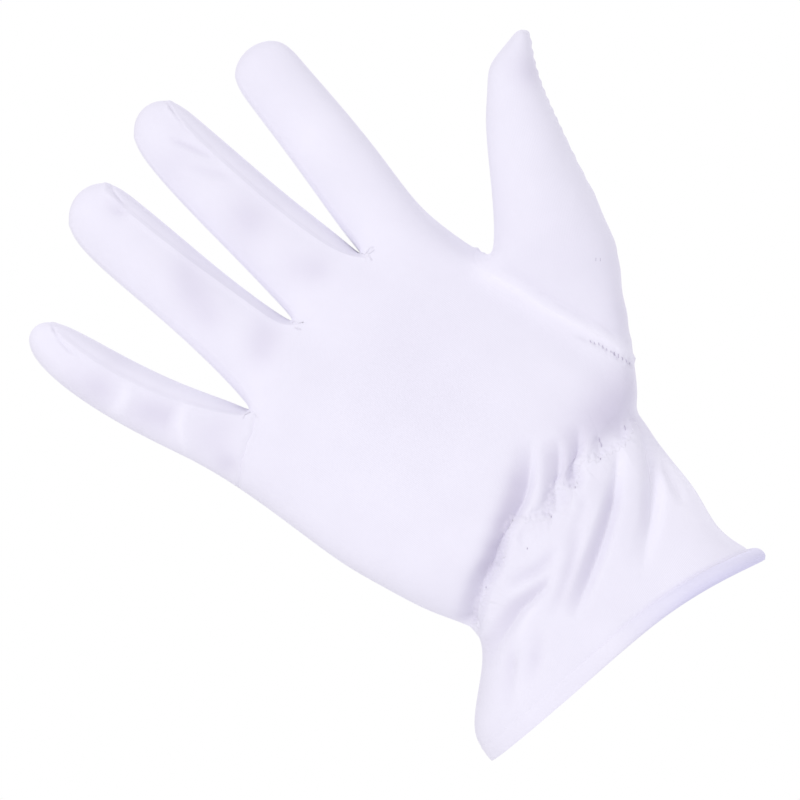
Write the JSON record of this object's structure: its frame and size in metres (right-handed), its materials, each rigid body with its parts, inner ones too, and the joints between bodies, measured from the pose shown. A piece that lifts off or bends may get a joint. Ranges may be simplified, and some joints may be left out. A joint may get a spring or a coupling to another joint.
{
  "type": "cotton inspection glove",
  "caption": "Thin knitted cotton glove for the right hand, shaped as worn with spread fingers, side strips between the fingers, a gathered wrist and a flared cuff with a rolled hem.",
  "frame": {"origin": "middle of the wrist, level with the gathered elastic, halfway between the palm side and the back", "axes": "+Z along the hand to the fingertips, +X to the thumb, the palm faces -Y"},
  "size_m": [0.168, 0.0464, 0.219],
  "materials": {
    "cotton": "matt knitted cotton, white"
  },
  "bodies": {
    "root": {"palm": "cotton", "back": "cotton", "little_front": "cotton", "ring_front": "cotton", "middle_front": "cotton", "fork_ring_little": "cotton", "fork_middle_ring": "cotton", "fork_index_middle": "cotton", "thumb": "cotton", "cuff_hem": "cotton"}
  },
  "joints": []
}
